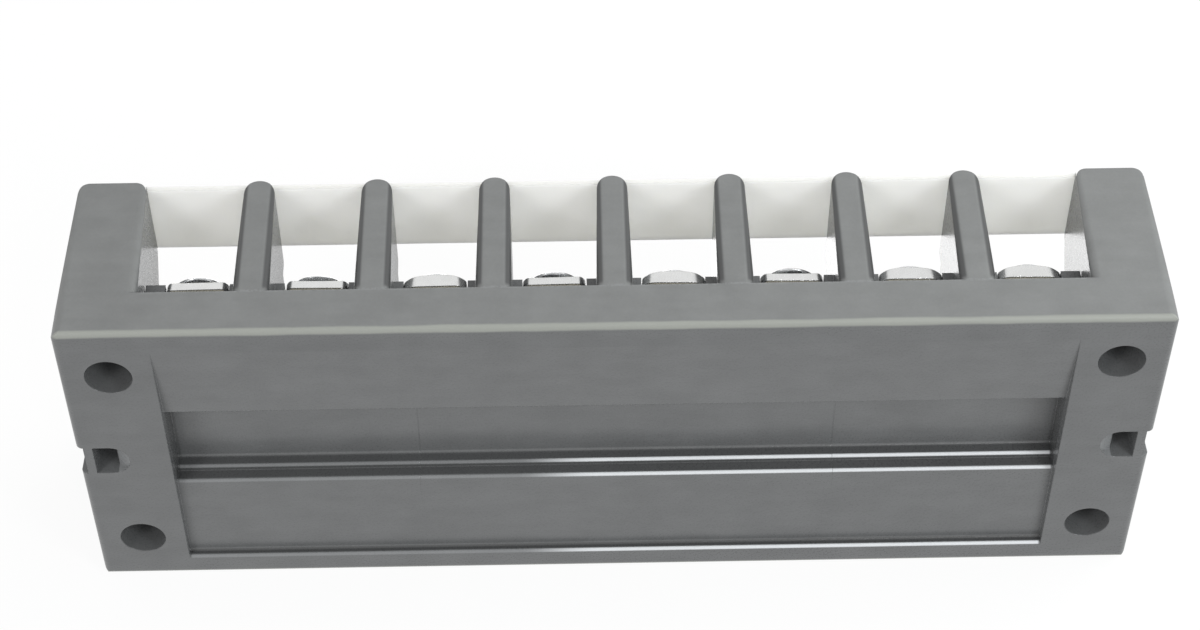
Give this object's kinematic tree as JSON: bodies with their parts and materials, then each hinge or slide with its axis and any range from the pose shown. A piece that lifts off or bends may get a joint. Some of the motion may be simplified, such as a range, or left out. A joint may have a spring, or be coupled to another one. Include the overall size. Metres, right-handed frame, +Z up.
{
  "type": "barrier terminal strip",
  "caption": "Double-row barrier terminal strip with screw clamps in walled bays, a marker strip over one row and end blocks with mounting holes.",
  "frame": {"origin": "middle of the underside, on the plane the strip is mounted on", "axes": "+X along the row of terminals, +Y towards the side that carries the marker strip, +Z up to the screw heads"},
  "size_m": [0.146, 0.052, 0.0286],
  "materials": {
    "moulding": "dark grey moulded phenolic with a soft sheen",
    "marker": "ivory laminate strip, slightly glossy",
    "small_screw": "nickel-plated steel",
    "strap": "nickel-plated brass strip",
    "clamp_plate": "nickel-plated steel",
    "terminal_screw": "nickel-plated steel"
  },
  "bodies": {
    "base": {"base_body": "moulding", "marker_strip": "marker", "strip_screws": "small_screw", "strap_1": "strap", "strap_2": "strap", "strap_3": "strap", "strap_4": "strap", "strap_5": "strap", "strap_6": "strap", "strap_7": "strap", "strap_8": "strap"},
    "clamp_near_1": {"clamp_near_1": "clamp_plate"},
    "screw_near_1": {"screw_near_1": "terminal_screw"},
    "clamp_near_2": {"clamp_near_2": "clamp_plate"},
    "screw_near_2": {"screw_near_2": "terminal_screw"},
    "clamp_near_3": {"clamp_near_3": "clamp_plate"},
    "screw_near_3": {"screw_near_3": "terminal_screw"},
    "clamp_near_4": {"clamp_near_4": "clamp_plate"},
    "screw_near_4": {"screw_near_4": "terminal_screw"},
    "clamp_near_5": {"clamp_near_5": "clamp_plate"},
    "screw_near_5": {"screw_near_5": "terminal_screw"},
    "clamp_near_6": {"clamp_near_6": "clamp_plate"},
    "screw_near_6": {"screw_near_6": "terminal_screw"},
    "clamp_near_7": {"clamp_near_7": "clamp_plate"},
    "screw_near_7": {"screw_near_7": "terminal_screw"},
    "clamp_near_8": {"clamp_near_8": "clamp_plate"},
    "screw_near_8": {"screw_near_8": "terminal_screw"},
    "clamp_far_1": {"clamp_far_1": "clamp_plate"},
    "screw_far_1": {"screw_far_1": "terminal_screw"},
    "clamp_far_2": {"clamp_far_2": "clamp_plate"},
    "screw_far_2": {"screw_far_2": "terminal_screw"},
    "clamp_far_3": {"clamp_far_3": "clamp_plate"},
    "screw_far_3": {"screw_far_3": "terminal_screw"},
    "clamp_far_4": {"clamp_far_4": "clamp_plate"},
    "screw_far_4": {"screw_far_4": "terminal_screw"},
    "clamp_far_5": {"clamp_far_5": "clamp_plate"},
    "screw_far_5": {"screw_far_5": "terminal_screw"},
    "clamp_far_6": {"clamp_far_6": "clamp_plate"},
    "screw_far_6": {"screw_far_6": "terminal_screw"},
    "clamp_far_7": {"clamp_far_7": "clamp_plate"},
    "screw_far_7": {"screw_far_7": "terminal_screw"},
    "clamp_far_8": {"clamp_far_8": "clamp_plate"},
    "screw_far_8": {"screw_far_8": "terminal_screw"}
  },
  "joints": [
    {"name": "clamp_lift_near_1", "type": "slide", "parent": "base", "child": "clamp_near_1", "axis": [0, 0, 1], "range_m": [0, 0.0021]},
    {"name": "screw_turn_near_1", "type": "hinge", "parent": "clamp_near_1", "child": "screw_near_1", "pos_m": [-0.05556, 0.0164, 0.0145], "axis": [0, 0, 1], "range_deg": [0, 1080.5]},
    {"name": "clamp_lift_near_2", "type": "slide", "parent": "base", "child": "clamp_near_2", "axis": [0, 0, 1], "range_m": [0, 0.0021]},
    {"name": "screw_turn_near_2", "type": "hinge", "parent": "clamp_near_2", "child": "screw_near_2", "pos_m": [-0.03969, 0.0164, 0.0145], "axis": [0, 0, 1], "range_deg": [0, 1080.5]},
    {"name": "clamp_lift_near_3", "type": "slide", "parent": "base", "child": "clamp_near_3", "axis": [0, 0, 1], "range_m": [0, 0.0021]},
    {"name": "screw_turn_near_3", "type": "hinge", "parent": "clamp_near_3", "child": "screw_near_3", "pos_m": [-0.02381, 0.0164, 0.0145], "axis": [0, 0, 1], "range_deg": [0, 1080.5]},
    {"name": "clamp_lift_near_4", "type": "slide", "parent": "base", "child": "clamp_near_4", "axis": [0, 0, 1], "range_m": [0, 0.0021]},
    {"name": "screw_turn_near_4", "type": "hinge", "parent": "clamp_near_4", "child": "screw_near_4", "pos_m": [-0.00794, 0.0164, 0.0145], "axis": [0, 0, 1], "range_deg": [0, 1080.5]},
    {"name": "clamp_lift_near_5", "type": "slide", "parent": "base", "child": "clamp_near_5", "axis": [0, 0, 1], "range_m": [0, 0.0021]},
    {"name": "screw_turn_near_5", "type": "hinge", "parent": "clamp_near_5", "child": "screw_near_5", "pos_m": [0.00794, 0.0164, 0.0145], "axis": [0, 0, 1], "range_deg": [0, 1080.5]},
    {"name": "clamp_lift_near_6", "type": "slide", "parent": "base", "child": "clamp_near_6", "axis": [0, 0, 1], "range_m": [0, 0.0021]},
    {"name": "screw_turn_near_6", "type": "hinge", "parent": "clamp_near_6", "child": "screw_near_6", "pos_m": [0.02381, 0.0164, 0.0145], "axis": [0, 0, 1], "range_deg": [0, 1080.5]},
    {"name": "clamp_lift_near_7", "type": "slide", "parent": "base", "child": "clamp_near_7", "axis": [0, 0, 1], "range_m": [0, 0.0021]},
    {"name": "screw_turn_near_7", "type": "hinge", "parent": "clamp_near_7", "child": "screw_near_7", "pos_m": [0.03969, 0.0164, 0.0145], "axis": [0, 0, 1], "range_deg": [0, 1080.5]},
    {"name": "clamp_lift_near_8", "type": "slide", "parent": "base", "child": "clamp_near_8", "axis": [0, 0, 1], "range_m": [0, 0.0021]},
    {"name": "screw_turn_near_8", "type": "hinge", "parent": "clamp_near_8", "child": "screw_near_8", "pos_m": [0.05556, 0.0164, 0.0145], "axis": [0, 0, 1], "range_deg": [0, 1080.5]},
    {"name": "clamp_lift_far_1", "type": "slide", "parent": "base", "child": "clamp_far_1", "axis": [0, 0, 1], "range_m": [0, 0.0021]},
    {"name": "screw_turn_far_1", "type": "hinge", "parent": "clamp_far_1", "child": "screw_far_1", "pos_m": [-0.05556, -0.0164, 0.0145], "axis": [0, 0, 1], "range_deg": [0, 1080.5]},
    {"name": "clamp_lift_far_2", "type": "slide", "parent": "base", "child": "clamp_far_2", "axis": [0, 0, 1], "range_m": [0, 0.0021]},
    {"name": "screw_turn_far_2", "type": "hinge", "parent": "clamp_far_2", "child": "screw_far_2", "pos_m": [-0.03969, -0.0164, 0.0145], "axis": [0, 0, 1], "range_deg": [0, 1080.5]},
    {"name": "clamp_lift_far_3", "type": "slide", "parent": "base", "child": "clamp_far_3", "axis": [0, 0, 1], "range_m": [0, 0.0021]},
    {"name": "screw_turn_far_3", "type": "hinge", "parent": "clamp_far_3", "child": "screw_far_3", "pos_m": [-0.02381, -0.0164, 0.0145], "axis": [0, 0, 1], "range_deg": [0, 1080.5]},
    {"name": "clamp_lift_far_4", "type": "slide", "parent": "base", "child": "clamp_far_4", "axis": [0, 0, 1], "range_m": [0, 0.0021]},
    {"name": "screw_turn_far_4", "type": "hinge", "parent": "clamp_far_4", "child": "screw_far_4", "pos_m": [-0.00794, -0.0164, 0.0145], "axis": [0, 0, 1], "range_deg": [0, 1080.5]},
    {"name": "clamp_lift_far_5", "type": "slide", "parent": "base", "child": "clamp_far_5", "axis": [0, 0, 1], "range_m": [0, 0.0021]},
    {"name": "screw_turn_far_5", "type": "hinge", "parent": "clamp_far_5", "child": "screw_far_5", "pos_m": [0.00794, -0.0164, 0.0145], "axis": [0, 0, 1], "range_deg": [0, 1080.5]},
    {"name": "clamp_lift_far_6", "type": "slide", "parent": "base", "child": "clamp_far_6", "axis": [0, 0, 1], "range_m": [0, 0.0021]},
    {"name": "screw_turn_far_6", "type": "hinge", "parent": "clamp_far_6", "child": "screw_far_6", "pos_m": [0.02381, -0.0164, 0.0145], "axis": [0, 0, 1], "range_deg": [0, 1080.5]},
    {"name": "clamp_lift_far_7", "type": "slide", "parent": "base", "child": "clamp_far_7", "axis": [0, 0, 1], "range_m": [0, 0.0021]},
    {"name": "screw_turn_far_7", "type": "hinge", "parent": "clamp_far_7", "child": "screw_far_7", "pos_m": [0.03969, -0.0164, 0.0145], "axis": [0, 0, 1], "range_deg": [0, 1080.5]},
    {"name": "clamp_lift_far_8", "type": "slide", "parent": "base", "child": "clamp_far_8", "axis": [0, 0, 1], "range_m": [0, 0.0021]},
    {"name": "screw_turn_far_8", "type": "hinge", "parent": "clamp_far_8", "child": "screw_far_8", "pos_m": [0.05556, -0.0164, 0.0145], "axis": [0, 0, 1], "range_deg": [0, 1080.5]}
  ],
  "couplings": [
    {"joint": "screw_turn_near_1", "follows": "clamp_lift_near_1", "rad_per_m": 8976},
    {"joint": "screw_turn_near_2", "follows": "clamp_lift_near_2", "rad_per_m": 8976},
    {"joint": "screw_turn_near_3", "follows": "clamp_lift_near_3", "rad_per_m": 8976},
    {"joint": "screw_turn_near_4", "follows": "clamp_lift_near_4", "rad_per_m": 8976},
    {"joint": "screw_turn_near_5", "follows": "clamp_lift_near_5", "rad_per_m": 8976},
    {"joint": "screw_turn_near_6", "follows": "clamp_lift_near_6", "rad_per_m": 8976},
    {"joint": "screw_turn_near_7", "follows": "clamp_lift_near_7", "rad_per_m": 8976},
    {"joint": "screw_turn_near_8", "follows": "clamp_lift_near_8", "rad_per_m": 8976},
    {"joint": "screw_turn_far_1", "follows": "clamp_lift_far_1", "rad_per_m": 8976},
    {"joint": "screw_turn_far_2", "follows": "clamp_lift_far_2", "rad_per_m": 8976},
    {"joint": "screw_turn_far_3", "follows": "clamp_lift_far_3", "rad_per_m": 8976},
    {"joint": "screw_turn_far_4", "follows": "clamp_lift_far_4", "rad_per_m": 8976},
    {"joint": "screw_turn_far_5", "follows": "clamp_lift_far_5", "rad_per_m": 8976},
    {"joint": "screw_turn_far_6", "follows": "clamp_lift_far_6", "rad_per_m": 8976},
    {"joint": "screw_turn_far_7", "follows": "clamp_lift_far_7", "rad_per_m": 8976},
    {"joint": "screw_turn_far_8", "follows": "clamp_lift_far_8", "rad_per_m": 8976}
  ]
}
